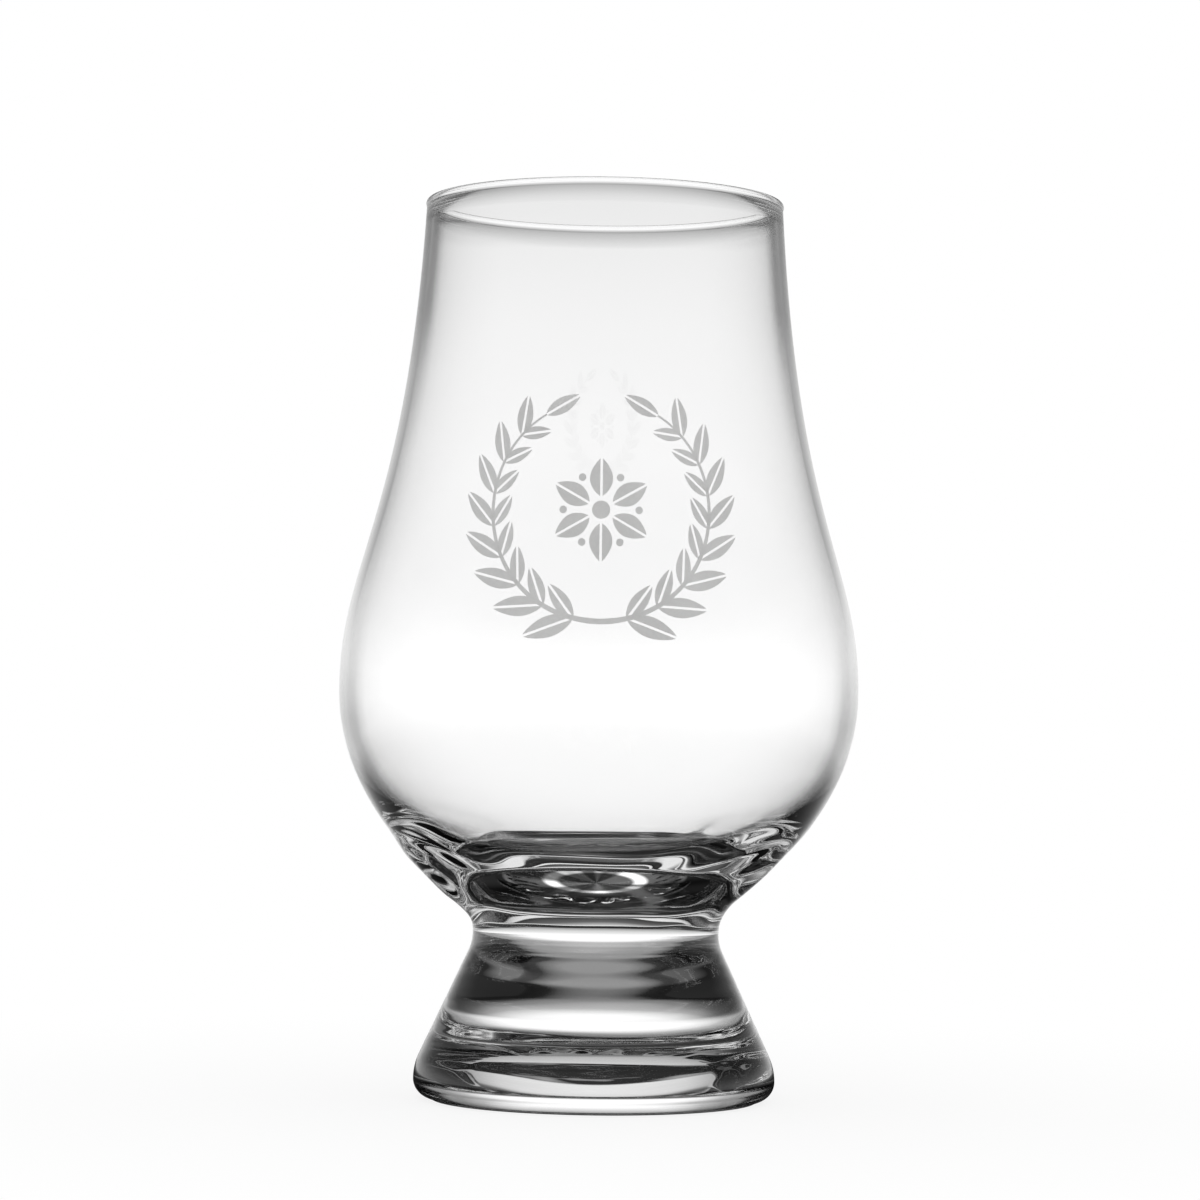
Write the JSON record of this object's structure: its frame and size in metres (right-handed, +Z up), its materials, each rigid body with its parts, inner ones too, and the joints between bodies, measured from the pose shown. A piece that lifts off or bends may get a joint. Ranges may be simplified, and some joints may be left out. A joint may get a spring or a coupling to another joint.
{
  "type": "whisky nosing glass",
  "caption": "Clear tulip-shaped nosing glass: wide belly, narrowing chimney, thick solid bottom, short flared solid foot fused on at a narrow waist.",
  "frame": {"origin": "on the table at the centre of the foot", "axes": "+Z up through the axis of the glass, out of its mouth; the glass is round, so X and Y are free"},
  "size_m": [0.0664, 0.0664, 0.115],
  "materials": {
    "clear_glass": "clear, fire-polished"
  },
  "bodies": {
    "root": {"bowl": "clear_glass", "foot": "clear_glass"}
  },
  "joints": []
}
